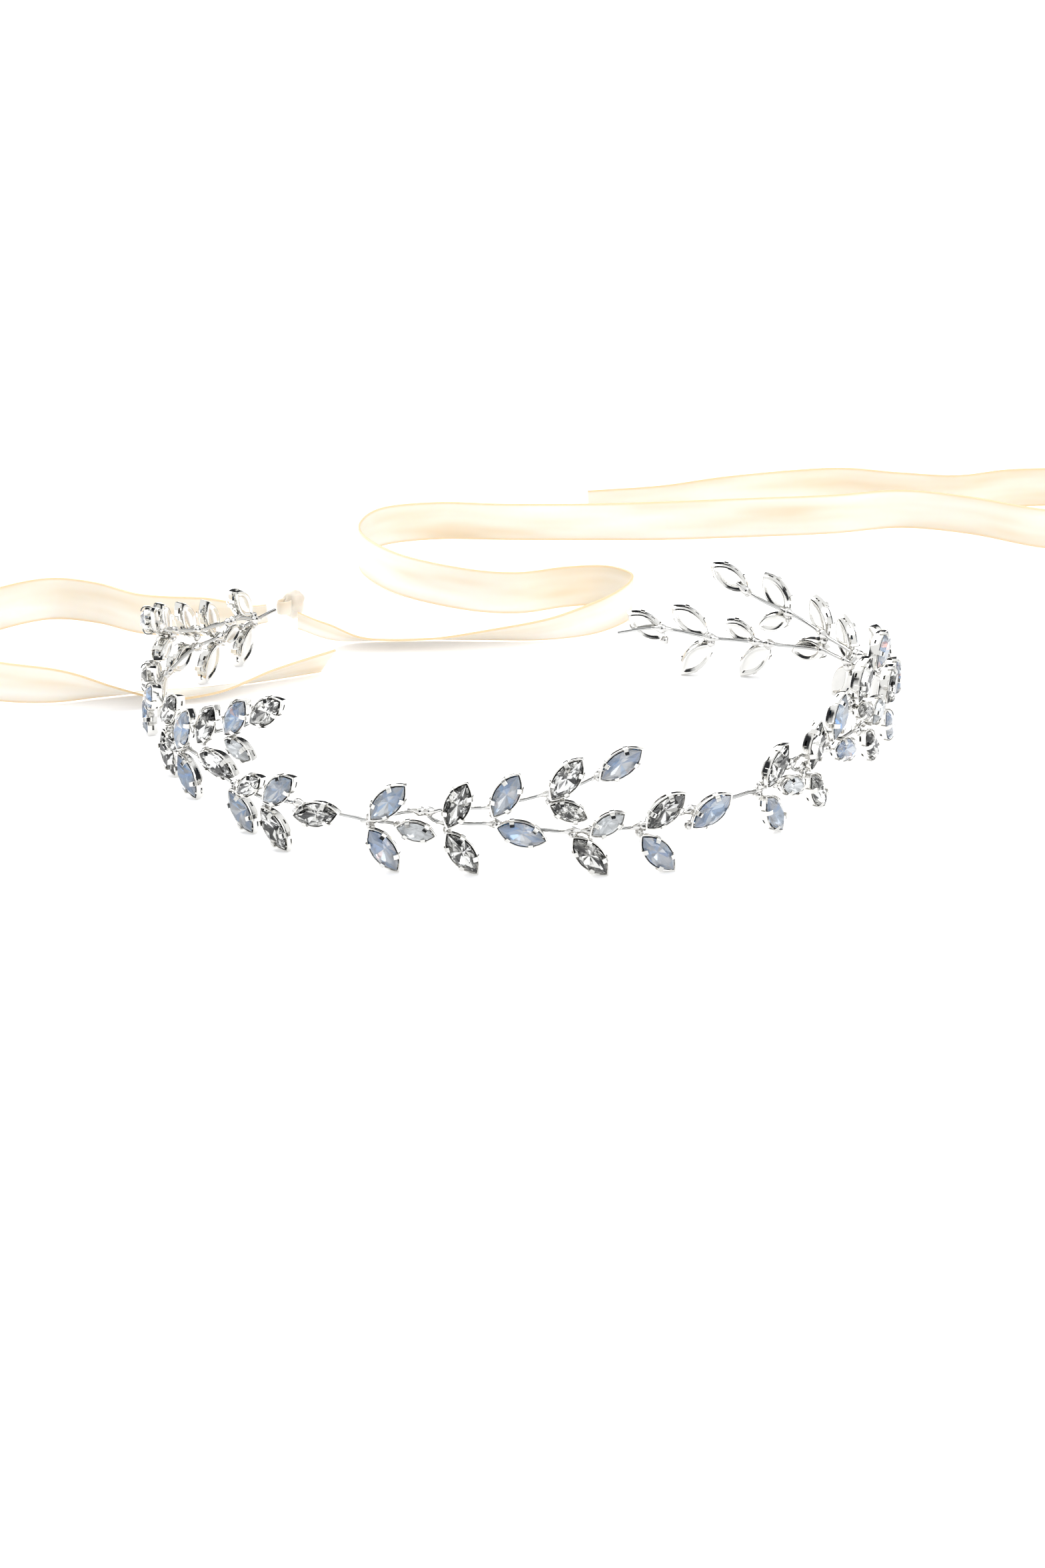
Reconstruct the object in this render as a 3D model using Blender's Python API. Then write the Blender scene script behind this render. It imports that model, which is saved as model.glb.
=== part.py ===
"""Flower crown: five wire sprays of navette crystals in silver cups, linked by wire necks, tied with ribbon.

Run with blender --background --python part.py. Tables and constants are in millimetres and degrees, and
meshes are made in metres. Z is up and the crown stands on its lower leaf tips at z = 0, front towards -Y.
"Along" is a distance along the plan curve of the wire, from the left end round the front to the right end.
"""
import math

import bmesh
import bpy
from mathutils import Matrix, Vector

MM = 0.001

# The middle of the crown's footprint, in the coordinates of the plan tables below.
ORIGIN = (-0.74, 18.95)

# Plan curve of the stem wire, and the width and depth that it is stretched to.
PLAN = (
    (-52.5, 93.5), (-57, 87), (-65.5, 71), (-73, 56), (-75.8, 38), (-72, 15), (-66.5, -5), (-57, -22.5),
    (-48, -36.5), (-40.5, -45.5), (-29, -49.5), (-12, -51.5), (8, -52.5), (24, -51), (34, -46), (44, -33.5),
    (57, -16.5), (68.5, 4.5), (74, 24), (73.5, 42), (67, 56), (60, 66), (50.5, 71.5), (38, 73), (24, 73.5),
)
CROWN_WIDTH = 149.8
CROWN_DEPTH = 146.0
CURVE_STEPS = 12
TRAVEL_STEP = 0.6

# Lift of the wire above its usual height, at distances along the plan curve.
LIFT = ((0, 0), (246, 0), (261, 0.6), (275, 2.6), (291, 4.0), (312, 4.0), (328, 1.8), (342, 0), (420, 0))

# Navette cups and crystals.
LARGE_CUP = (10.5, 5.2)
SMALL_CUP = (8.4, 4.2)
CUP_BACK = 0.15
CUP_DEPTH = 2.1
CUP_BACK_SHARE = 0.88
CUP_WALL = 0.3
TIP_WALLS = 1.7
SEAT_GAP = 0.12
CUP_FLOOR = 0.5
GIRDLE_RISE = 0.1
CROWN_RISE = 0.95
TABLE_SHARE = 0.6
PAVILION_SHARE = 0.55
OUTLINE_SIDES = 3
CLAW_PLACE = 0.235
CLAW_WIDTH = 1.2
CLAW_REACH = 0.8
CLAW_RISE = 1.15
CLAW_INSET = 0.04
CLAW_THICK = 0.16
CLAW_ROOT = 0.2

# Wire and solder.
WIRE_RADIUS = 0.4
WIRE_SIDES = 5
WIRE_STEP = 5.0
SOLDER_RADIUS = 1.3
SOLDER_OUT = 0.4
SOLDER_INSET = 0.35
NECK_LEAD = 3.0
NECK_HEIGHT = 9.8
NECK_GAP = 0.3

# Eyes at the two ends, and the knot in the left one.
EYE_HALF = (1.5, 2.2)
EYE_STEPS = 10
LINK_RADIUS = 1.5
LINK_WIRE = 0.5
KNOT_HALF = (2.6, 2.4, 3.2)
KNOT_GAP = 0.4

# A crystal bridge joins neighbouring crystals of one colour where their cups meet.
BRIDGE_WIDTH = 0.9
BRIDGE_HEIGHT = 0.7
BRIDGE_DROP = 0.1
BRIDGE_START = 1.2
BRIDGE_END = 1.7

# Leaves: place along the spray, height of the base, angle above level, cup. None for a leaf that points
# down far enough to reach the floor.
LEAVES = {
    "cluster_upper": (0.2, 10.0, 46, LARGE_CUP),
    "cluster_lower": (0.0, 8.7, None, LARGE_CUP),
    "cluster_small": (4.9, 9.1, -12, SMALL_CUP),
    "pair_2_upper": (14.9, 8.8, 68, LARGE_CUP),
    "pair_2_lower": (14.6, 8.5, None, LARGE_CUP),
    "pair_3_upper": (23.4, 11.3, 60, LARGE_CUP),
    "pair_3_lower": (23.8, 9.6, -15, LARGE_CUP),
    "pair_4_upper": (34.1, 14.9, 54, LARGE_CUP),
    "pair_4_lower": (33.6, 14.2, -20, SMALL_CUP),
    "branch_tip": (42.9, 18.8, 36, LARGE_CUP),
    "pair_6_lower": (38.1, 7.9, None, LARGE_CUP),
    "pair_6_upper": (41.3, 7.8, 33, SMALL_CUP),
    "pair_7_upper": (51.4, 8.8, 39, LARGE_CUP),
    "pair_7_lower": (50.6, 7.9, None, LARGE_CUP),
    "end": (60.6, 7.8, 36, LARGE_CUP),
}
STEM = (
    (0, 9.5), (5.8, 11.2), (10.1, 11.5), (12.8, 9.7), (18.4, 9.5), (23.5, 9.5), (33.6, 8.4), (37.3, 8.2),
    (46.4, 8.5), (50.8, 8.9), (56.4, 10), (60.0, 10.6), (64.5, 10.9),
)
BRANCH = (
    (9.6, 11.4), (13.6, 12.0), (19.6, 12.6), (22.6, 12.9), (28.1, 14.2), (33.4, 15.7), (39, 17.3),
    (42.8, 19.2), (45.4, 21.0),
)
BRANCH_LEAVES = ("pair_3_upper", "pair_3_lower", "pair_4_upper", "pair_4_lower", "branch_tip")
STUB = ((0.4, 9.4), (3.2, 9.2), (6.4, 9.0))
SOLDER = ((10.4, 11.4), (12.6, 9.9), (24.4, 12.9), (64.5, 10.8))

# Crystals by colour. A name that holds several leaves is one piece of joined crystals.
CLEAR = "clear_crystal"
OPAL = "opal_crystal"
CRYSTALS = {
    "cluster_crystals": (("cluster_upper", "cluster_lower", "cluster_small"), OPAL),
    "pair_2_crystals": (("pair_2_upper", "pair_2_lower"), CLEAR),
    "pair_3_crystals": (("pair_3_upper", "pair_3_lower"), OPAL),
    "pair_4_crystals": (("pair_4_upper", "pair_4_lower"), CLEAR),
    "branch_tip_crystal": (("branch_tip",), OPAL),
    "pair_6_lower_crystal": (("pair_6_lower",), CLEAR),
    "pair_6_upper_crystal": (("pair_6_upper",), OPAL),
    "pair_7_upper_crystal": (("pair_7_upper",), CLEAR),
    "pair_7_lower_crystal": (("pair_7_lower",), OPAL),
    "end_crystal": (("end",), OPAL),
}
SWAPPED = {CLEAR: OPAL, OPAL: CLEAR}
SPLIT_CLUSTER = {
    "cluster_upper_crystal": (("cluster_upper",), CLEAR),
    "cluster_lower_crystals": (("cluster_lower", "cluster_small"), OPAL),
}

# How a spray's branch differs from the usual one: its length as a share, and how much higher its end is bent.
USUAL_BRANCH = (1.0, 0.0)
LONG_BRANCH = (1.12, 5.0)

# Sprays: name, place of the cluster along the plan curve, colours swapped, branch, and leaves that differ.
# Leaves face straight out of the crown but for those turned about the upright, towards the way along.
SPRAYS = (
    ("back_left", 10.3, False, USUAL_BRANCH, {}),
    ("front_left", 89.5, True, LONG_BRANCH, {"end": (61.6, 9.3, 10, LARGE_CUP)}),
    ("front", 166.1, False, USUAL_BRANCH, {}),
    ("front_right", 248.3, False, USUAL_BRANCH, {}),
    ("back_right", 328.2, True, USUAL_BRANCH, {}),
)
TURNED_SPRAYS = {"front_left": 18}
TURNED_LEAVES = {("front_left", "end"): 0, ("front", "end"): -22}
SPLIT_SPRAY = "front_right"
LAST_STEM = 71.0

# Ribbon: plan place, lean from upright in degrees, lift off the floor.
RIBBON_WIDTH = 9.5
RIBBON_THICK = 0.5
RIBBON_REST = 0.15
RIBBON_STEPS = 2
RIGHT_TAIL = (
    (-49.5, 93.0, 14, 2.0), (-44, 93.5, 40, 0.6), (-36, 95, 70, 0), (-21, 96, 74, 0), (-8, 96, 62, 0),
    (5, 97, 45, 0), (16, 103, 22, 0), (23, 113, 8, 0), (24.5, 122, 0, 0), (19, 128, 0, 0), (10, 127, 0, 0),
    (-1, 122, 4, 0), (-13, 125, 8, 0), (-28, 137, 4, 0), (-37, 154, 0, 0), (-38, 168, 0, 0),
    (-33, 180, 2, 0), (-20, 185, 6, 0), (-4, 184, 10, 0), (19, 184, 8, 0), (35, 185, 0, 0),
    (56, 188, -6, 0), (75, 191, -4, 0), (92, 196, 0, 0), (108, 190, 4, 0), (124, 178, 0, 0),
    (137, 176, 0, 0), (145, 187, 0, 0), (145, 204, 0, 0), (136, 216, 0, 0), (121, 216, 4, 0),
    (107, 210, 6, 0), (93, 213, 2, 0), (77, 218, -4, 0), (52, 210, 0, 0), (34, 200, 6, 0), (16, 195, 10, 0),
)
LEFT_TAIL = (
    (-56.5, 98.5, -6, 2.0), (-62, 101, -8, 0.5), (-73, 103, -10, 0), (-85, 105, -6, 0), (-96, 114, 0, 0),
    (-107, 117, 6, 0), (-118, 108, 8, 0), (-127, 93, 0, 0), (-130, 78, 0, 0), (-124, 62, 0, 0),
    (-111, 54, 10, 0), (-99, 52, 25, 0), (-88, 54, 60, 0), (-77, 57, 84, 0), (-66, 59.5, 80, 0),
    (-55, 65, 60, 0), (-42, 73, 46, 0),
)


def spline_points(points, steps):
    """Points of any size on a smooth curve through the given ones."""
    before = [2 * a - b for a, b in zip(points[0], points[1])]
    after = [2 * a - b for a, b in zip(points[-1], points[-2])]
    knots = [before, *points, after]
    made = []
    for i in range(1, len(knots) - 2):
        for k in range(steps):
            t = k / steps
            made.append([
                b + 0.5 * ((c - a) * t + (2 * a - 5 * b + 4 * c - d) * t**2 + (3 * (b - c) - a + d) * t**3)
                for a, b, c, d in zip(*knots[i - 1:i + 3])
            ])
    made.append(list(points[-1]))
    return made


def read_table(table, place):
    """The value at a place in a table of (place, value), straight between its rows."""
    for (before, low), (after, high) in zip(table, table[1:]):
        if place <= after:
            break
    return low + (high - low) * (place - before) / (after - before)


class PlanCurve:
    """The stem wire's plan curve, read by distance along it."""

    def __init__(self, points):
        across, along = ([point[i] for point in points] for i in (0, 1))
        stretch = (CROWN_WIDTH / (max(across) - min(across)), CROWN_DEPTH / (max(along) - min(along)))
        self.points = [
            Vector(((x - ORIGIN[0]) * stretch[0], (y - ORIGIN[1]) * stretch[1]))
            for x, y in spline_points(points, CURVE_STEPS)
        ]
        self.along = [0.0]
        for a, b in zip(self.points, self.points[1:]):
            self.along.append(self.along[-1] + (b - a).length)
        self.length = self.along[-1]

    def point(self, along):
        last = len(self.along) - 2
        i = 0
        while i < last and self.along[i + 1] < along:
            i += 1
        share = (along - self.along[i]) / (self.along[i + 1] - self.along[i])
        return self.points[i].lerp(self.points[i + 1], share)

    def frame(self, along):
        """(point, direction of travel, direction out of the crown), in plan."""
        travel = (self.point(along + TRAVEL_STEP) - self.point(along - TRAVEL_STEP)).normalized()
        return self.point(along), travel, Vector((travel.y, -travel.x))

    def place(self, along, height, out=0.0):
        point, _, outward = self.frame(along)
        return Vector((*(point + outward * out), height + read_table(LIFT, along)))


CURVE = PlanCurve(PLAN)


class Leaf:
    """One cup and its crystal: x runs from the base to the tip, z out of the crown from the cup's back."""

    def __init__(self, start, along, height, angle, cup, turn=0):
        self.length, self.width = cup
        rise = math.radians(angle) if angle is not None else -math.asin(height / self.length)
        half = self.length * math.cos(rise) / 2
        point, travel, outward = CURVE.frame(start + along + half)
        if turn:
            swing = Matrix.Rotation(math.radians(turn), 2)
            travel = swing @ travel
            outward = swing @ outward
            point = CURVE.point(start + along) + travel * half
        reach = Vector((*(travel * math.cos(rise)), math.sin(rise)))
        out = Vector((*outward, 0))
        base = height + read_table(LIFT, start + along)
        centre = Vector((*(point + outward * CUP_BACK), base + self.length * math.sin(rise) / 2))
        axes = Matrix((reach, out.cross(reach), out)).transposed().to_4x4()
        self.matrix = Matrix.Translation(centre) @ axes

    def crystal_size(self, grow=0.0):
        shrink = 2 * (CUP_WALL + SEAT_GAP - grow)
        return self.length - TIP_WALLS * shrink, self.width - shrink

    def at_base(self, inset, height):
        return self.matrix @ Vector((inset - self.length / 2, 0, height))


def on_branch(branch, along, height):
    """A point of the usual branch, moved onto the branch of one spray."""
    stretch, rise = branch
    start, end = BRANCH[0][0], BRANCH[-1][0]
    return start + stretch * (along - start), height + rise * (along - start) / (end - start)


def make_leaf(spray, name):
    spray_name, start, _, branch, changes = spray
    turn = TURNED_LEAVES.get((spray_name, name), TURNED_SPRAYS.get(spray_name, 0))
    along, height, angle, cup = changes.get(name, LEAVES[name])
    if name in BRANCH_LEAVES:
        along, height = on_branch(branch, along, height)
    return Leaf(start, along, height, angle, cup, turn)


def navette(length, width, sides=OUTLINE_SIDES):
    """A pointed oval: two arcs, counter-clockwise from the tip."""
    radius = (length**2 + width**2) / (4 * width)
    half = math.asin(length / 2 / radius)
    upper = []
    for i in range(sides):
        turn = half - 2 * half * i / sides
        upper.append((radius * math.sin(turn), radius * math.cos(turn) - radius + width / 2))
    return upper + [(-x, -y) for x, y in upper]


def half_width(length, width, x):
    """Half the width of the navette's outline at x."""
    outline = navette(length, width)[:OUTLINE_SIDES + 1]
    for (right, high), (left, low) in zip(outline, outline[1:]):
        if left <= x <= right:
            return low + (high - low) * (x - left) / (right - left)
    return 0.0


def add_loft(bm, rings, closed=False):
    """Skin through rings of equally many points, with end caps unless the rings meet again."""
    loops = [[bm.verts.new(Vector(point) * MM) for point in ring] for ring in rings]
    count = len(loops[0])
    pairs = list(zip(loops, loops[1:]))
    if closed:
        pairs.append((loops[-1], loops[0]))
    for low, high in pairs:
        for i in range(count):
            j = (i + 1) % count
            bm.faces.new((low[i], low[j], high[j], high[i]))
    if not closed:
        bm.faces.new(loops[0][::-1])
        bm.faces.new(loops[-1])


def add_navette_solid(bm, matrix, levels):
    """A solid through navette rings, each given as length, width and height."""
    rings = [[matrix @ Vector((x, y, z)) for x, y in navette(length, width)] for length, width, z in levels]
    add_loft(bm, rings)


def add_cup(bm, leaf):
    back = (leaf.length * CUP_BACK_SHARE, leaf.width * CUP_BACK_SHARE, 0)
    add_navette_solid(bm, leaf.matrix, (back, (leaf.length, leaf.width, CUP_DEPTH)))


def add_crystal(bm, leaf, grow=0.0):
    """The crystal, or with grow the seat that is cut for it."""
    length, width = leaf.crystal_size(grow)
    add_navette_solid(bm, leaf.matrix, (
        (length * PAVILION_SHARE, width * PAVILION_SHARE, CUP_FLOOR - grow),
        (length, width, CUP_DEPTH + GIRDLE_RISE),
        (length * TABLE_SHARE, width * TABLE_SHARE, CUP_DEPTH + GIRDLE_RISE + CROWN_RISE + grow),
    ))


def add_claws(bm, leaf):
    """Two claws on each long side, each a prong from inside the cup's rim to a point over the crystal."""
    root = CUP_DEPTH - CLAW_ROOT
    for x in (-CLAW_PLACE * leaf.length, CLAW_PLACE * leaf.length):
        ends = (x - CLAW_WIDTH / 2, x, x + CLAW_WIDTH / 2)
        near, middle, far = (half_width(leaf.length, leaf.width, end) for end in ends)
        for side in (-1, 1):
            corners = (
                (x - CLAW_WIDTH / 2, side * (near - CLAW_INSET), root),
                (x + CLAW_WIDTH / 2, side * (far - CLAW_INSET), root),
                (x, side * (middle - CLAW_INSET - CLAW_THICK), root),
                (x, side * (middle - CLAW_REACH), CUP_DEPTH + CLAW_RISE),
            )
            made = [bm.verts.new(leaf.matrix @ Vector(corner) * MM) for corner in corners]
            for skipped in range(4):
                bm.faces.new([each for k, each in enumerate(made) if k != skipped])


def circle_turns(count):
    return [2 * math.pi * k / count for k in range(count)]


def add_tube(bm, points, radius):
    """A round wire through points."""
    rings = []
    last = len(points) - 1
    for i, point in enumerate(points):
        travel = (points[min(i + 1, last)] - points[max(i - 1, 0)]).normalized()
        side = travel.cross(Vector((0, 0, 1))).normalized()
        lift = side.cross(travel).normalized()
        rings.append([
            point + (side * math.cos(t) + lift * math.sin(t)) * radius for t in circle_turns(WIRE_SIDES)
        ])
    add_loft(bm, rings)


def wire_points(start, table):
    """Even points on the smooth wire through a table of (along, height)."""
    dense = spline_points(table, CURVE_STEPS)
    last = dense[0]
    kept = [last]
    for here in dense[1:-1]:
        if math.dist(here, last) >= WIRE_STEP:
            kept.append(here)
            last = here
    if math.dist(kept[-1], dense[-1]) < WIRE_STEP / 2:
        kept.pop()
    kept.append(dense[-1])
    return [CURVE.place(start + along, height) for along, height in kept]


def add_solder(bm, place):
    """A lump of solder, as an eight-sided stand-in."""
    where = Matrix.Translation(place * MM)
    bmesh.ops.create_uvsphere(bm, u_segments=4, v_segments=2, radius=SOLDER_RADIUS * MM, matrix=where)


def add_box_between(bm, start, end, width, height, out):
    """A bar from start to end, its height measured along out."""
    travel = (end - start).normalized()
    side = travel.cross(out).normalized() * width / 2
    rise = side.cross(travel).normalized() * height / 2
    corners = (side + rise, rise - side, -side - rise, side - rise)
    add_loft(bm, [[start + corner for corner in corners], [end + corner for corner in corners]])


def add_bridges(bm, leaves, grow=0.0):
    """Bars between the bases of crystals that are one piece."""
    height = CUP_DEPTH - BRIDGE_HEIGHT / 2 - BRIDGE_DROP
    first = leaves[0]
    for other in leaves[1:]:
        start = first.at_base(BRIDGE_START, height)
        end = other.at_base(BRIDGE_END + grow, height)
        out = first.matrix.to_3x3().col[2]
        add_box_between(bm, start, end, BRIDGE_WIDTH + 2 * grow, BRIDGE_HEIGHT + 2 * grow, out)


def material(name, colour, roughness, metallic=0.0, transmission=0.0):
    made = bpy.data.materials.new(name)
    made.use_nodes = True
    shader = made.node_tree.nodes["Principled BSDF"]
    shader.inputs["Base Color"].default_value = (*colour, 1)
    shader.inputs["Roughness"].default_value = roughness
    shader.inputs["Metallic"].default_value = metallic
    shader.inputs["Transmission Weight"].default_value = transmission
    made.diffuse_color = (*colour, 1)
    return made


def finish_mesh(name, bm, pivot):
    """Closes the faces outwards and moves the mesh's origin to the pivot."""
    bmesh.ops.recalc_face_normals(bm, faces=bm.faces)
    bmesh.ops.translate(bm, verts=bm.verts, vec=-pivot.location)
    mesh = bpy.data.meshes.new(name)
    bm.to_mesh(mesh)
    bm.free()
    return mesh


def add_object(name, bm, pivot, finish, helper=False):
    mesh = finish_mesh(name, bm, pivot)
    mesh.materials.append(finish)
    made = bpy.data.objects.new(name, mesh)
    made.parent = pivot
    if helper:
        made.hide_render = True
        made.display_type = "WIRE"
    bpy.context.scene.collection.objects.link(made)
    return made


def add_boolean(target, other, operation, overlapping=False):
    boolean = target.modifiers.new(other.name, "BOOLEAN")
    boolean.object = other
    boolean.operation = operation
    boolean.solver = "EXACT"
    boolean.use_self = overlapping


def smooth(made, angle=35):
    made.data.shade_smooth()
    made.data.set_sharp_from_angle(angle=math.radians(angle))


def add_pivot(name, place):
    pivot = bpy.data.objects.new(name, None)
    pivot.location = place * MM
    bpy.context.scene.collection.objects.link(pivot)
    return pivot


def neck_place(index):
    """Distance along the plan curve of the neck that leads into a spray."""
    return SPRAYS[index][1] - NECK_LEAD


def eye_points(middle):
    """Points round the upright eye whose middle is this far along the curve."""
    made = []
    for turn in circle_turns(EYE_STEPS):
        along = middle + EYE_HALF[0] * math.cos(turn)
        made.append(CURVE.place(along, NECK_HEIGHT + EYE_HALF[1] * math.sin(turn)))
    return made


def add_eye(bm, middle):
    """The wire end bent into an eye, in the upright plane of the wire."""
    points = eye_points(middle)
    outward = Vector((*CURVE.frame(middle)[2], 0))
    centre = sum(points, Vector()) / len(points)
    rings = []
    for point in points:
        away = (point - centre).normalized()
        rings.append([
            point + (away * math.cos(t) + outward * math.sin(t)) * WIRE_RADIUS
            for t in circle_turns(WIRE_SIDES)
        ])
    add_loft(bm, rings, closed=True)


LEFT_EYE = EYE_HALF[0]
RIGHT_EYE = SPRAYS[-1][1] + LAST_STEM + EYE_HALF[0]


def stem_wire(index):
    """The stem from neck to neck, or to an eye at either end of the crown."""
    start = SPRAYS[index][1]
    first = index == 0
    last = index == len(SPRAYS) - 1
    begin = LEFT_EYE + EYE_HALF[0] if first else neck_place(index) + NECK_GAP / 2
    end = RIGHT_EYE - EYE_HALF[0] if last else neck_place(index + 1) - NECK_GAP / 2
    return wire_points(start, ((begin - start, NECK_HEIGHT), *STEM, (end - start, NECK_HEIGHT)))


def crystal_groups(name):
    """The crystal pieces of a spray. One spray's cluster has two colours, so it is two pieces."""
    if name != SPLIT_SPRAY:
        return CRYSTALS
    rest = {piece: group for piece, group in CRYSTALS.items() if piece != "cluster_crystals"}
    return {**SPLIT_CLUSTER, **rest}


def make_frame(index, leaves, pivot, finish):
    """One spray's soldered frame: wires, cups, claws and solder in one piece, with seats for the crystals."""
    name, start, _, branch_shape, _ = SPRAYS[index]
    wires = bmesh.new()
    add_tube(wires, stem_wire(index), WIRE_RADIUS)
    frame = add_object(f"{name}_frame", wires, pivot, finish)
    extras = bmesh.new()
    branch = [on_branch(branch_shape, along, height) for along, height in BRANCH]
    add_tube(extras, wire_points(start, branch), WIRE_RADIUS)
    add_tube(extras, wire_points(start, STUB), WIRE_RADIUS)
    for along, height in SOLDER:
        add_solder(extras, CURVE.place(start + along, height, SOLDER_OUT))
    for leaf in leaves.values():
        add_solder(extras, leaf.at_base(SOLDER_INSET, SOLDER_OUT - CUP_BACK))
    if index == 0:
        add_eye(extras, LEFT_EYE)
    if index == len(SPRAYS) - 1:
        add_eye(extras, RIGHT_EYE)
    cups = bmesh.new()
    claws = bmesh.new()
    for leaf in leaves.values():
        add_cup(cups, leaf)
        add_claws(claws, leaf)
    seats = bmesh.new()
    for leaf in leaves.values():
        add_crystal(seats, leaf, SEAT_GAP)
    for names, _ in crystal_groups(name).values():
        add_bridges(seats, [leaves[each] for each in names], SEAT_GAP)
    add_boolean(frame, add_object(f"{name}_wires", extras, pivot, finish, helper=True), "UNION", True)
    add_boolean(frame, add_object(f"{name}_cups", cups, pivot, finish, helper=True), "UNION", True)
    add_boolean(frame, add_object(f"{name}_seats", seats, pivot, finish, helper=True), "DIFFERENCE", True)
    add_boolean(frame, add_object(f"{name}_claws", claws, pivot, finish, helper=True), "UNION", True)
    smooth(frame)


def make_crystals(name, leaves, pivot, finish):
    """One crystal, or several that are joined at their bases."""
    body = bmesh.new()
    add_crystal(body, leaves[0])
    made = add_object(name, body, pivot, finish)
    if len(leaves) > 1:
        rest = bmesh.new()
        for leaf in leaves[1:]:
            add_crystal(rest, leaf)
        add_bridges(rest, leaves)
        add_boolean(made, add_object(f"{name}_rest", rest, pivot, finish, helper=True), "UNION", True)


def make_spray(index, finishes):
    name, start, swapped, _, _ = SPRAYS[index]
    pivot_along = start if index == 0 else neck_place(index)
    pivot = add_pivot(f"{name}_pivot", CURVE.place(pivot_along, NECK_HEIGHT))
    bpy.context.view_layer.update()
    leaves = {each: make_leaf(SPRAYS[index], each) for each in LEAVES}
    make_frame(index, leaves, pivot, finishes["silver"])
    for piece, (names, colour) in crystal_groups(name).items():
        finish = finishes[SWAPPED[colour] if swapped else colour]
        make_crystals(f"{name}_{piece}", [leaves[each] for each in names], pivot, finish)


def ribbon_rings(route):
    """Cross-sections of the ribbon, which stands on its edge where its lean is zero."""
    stations = spline_points(route, RIBBON_STEPS)
    rings = []
    for i, (x, y, lean, lift) in enumerate(stations):
        before = stations[max(i - 1, 0)]
        after = stations[min(i + 1, len(stations) - 1)]
        travel = Vector((after[0] - before[0], after[1] - before[1], 0)).normalized()
        side = Vector((travel.y, -travel.x, 0))
        turn = math.radians(lean)
        across = (Vector((0, 0, 1)) * math.cos(turn) + side * math.sin(turn)) * RIBBON_WIDTH / 2
        face = (side * math.cos(turn) - Vector((0, 0, 1)) * math.sin(turn)) * RIBBON_THICK / 2
        height = abs(across.z) + abs(face.z) + RIBBON_REST + lift
        centre = Vector((x - ORIGIN[0], y - ORIGIN[1], height))
        corners = (across + face, across - face, -across - face, face - across)
        rings.append([centre + corner for corner in corners])
    return rings


def add_strip(bm, rings):
    """Skin of a thin strip, each stretch split along one diagonal on both faces so that they never cross."""
    loops = [[bm.verts.new(point * MM) for point in ring] for ring in rings]
    for low, high in zip(loops, loops[1:]):
        for i in range(4):
            j = (i + 1) % 4
            near, far = (low[i], high[j]) if i < 2 else (low[j], high[i])
            for third in (low[i], low[j], high[j], high[i]):
                if third not in (near, far):
                    bm.faces.new((near, third, far))
    bm.faces.new(loops[0])
    bm.faces.new(loops[-1])


def make_ribbon(name, route, pivot, finish):
    strip = bmesh.new()
    add_strip(strip, ribbon_rings(route))
    smooth(add_object(name, strip, pivot, finish))


def make_knot(pivot, finish):
    """The knot: a turn of ribbon through the left eye, and the lump beyond it."""
    _, travel, outward = CURVE.frame(0)
    travel = Vector((*travel, 0))
    outward = Vector((*outward, 0))
    far_side = CURVE.place(LEFT_EYE - EYE_HALF[0], NECK_HEIGHT)
    link = bmesh.new()
    rings = []
    for turn in circle_turns(EYE_STEPS):
        away = travel * math.cos(turn) + outward * math.sin(turn)
        point = far_side + away * LINK_RADIUS
        rings.append([
            point + (away * math.cos(t) + Vector((0, 0, 1)) * math.sin(t)) * LINK_WIRE
            for t in circle_turns(WIRE_SIDES)
        ])
    add_loft(link, rings, closed=True)
    knot = add_object("ribbon_knot", link, pivot, finish)
    lump = bmesh.new()
    centre = far_side - travel * (WIRE_RADIUS + KNOT_GAP + KNOT_HALF[0])
    axes = Matrix((travel, outward, Vector((0, 0, 1)))).transposed().to_4x4()
    shape = Matrix.Translation(centre * MM) @ axes @ Matrix.Diagonal((*KNOT_HALF, 1))
    bmesh.ops.create_icosphere(lump, subdivisions=2, radius=MM, matrix=shape)
    add_boolean(knot, add_object("ribbon_knot_lump", lump, pivot, finish, helper=True), "UNION")
    smooth(knot, 60)


def clear_scene():
    for old in list(bpy.data.objects):
        bpy.data.objects.remove(old, do_unlink=True)


def main():
    clear_scene()
    finishes = {
        "silver": material("silver_plate", (0.82, 0.82, 0.84), 0.15, metallic=1.0),
        CLEAR: material(CLEAR, (0.55, 0.57, 0.6), 0.03, transmission=0.8),
        OPAL: material(OPAL, (0.62, 0.74, 0.88), 0.08, transmission=0.3),
    }
    satin = material("satin_ribbon", (0.9, 0.8, 0.66), 0.4)
    for index in range(len(SPRAYS)):
        make_spray(index, finishes)
    tie = add_pivot("tie_pivot", CURVE.place(LEFT_EYE, NECK_HEIGHT))
    bpy.context.view_layer.update()
    make_knot(tie, satin)
    make_ribbon("ribbon_right_tail", RIGHT_TAIL, tie, satin)
    make_ribbon("ribbon_left_tail", LEFT_TAIL, tie, satin)


main()
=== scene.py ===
"""Looks of the flower crown: crystals, stamped cups, soldered wire and satin ribbon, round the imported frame.

Tables and constants are in millimetres and degrees, in the crown's own frame, and meshes are made in metres.
"Along" is a distance along the plan curve of the wire, from the left end round the front to the right end.
"""

import math
import random

import bmesh
import bpy
from mathutils import Matrix, Vector, noise


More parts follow.
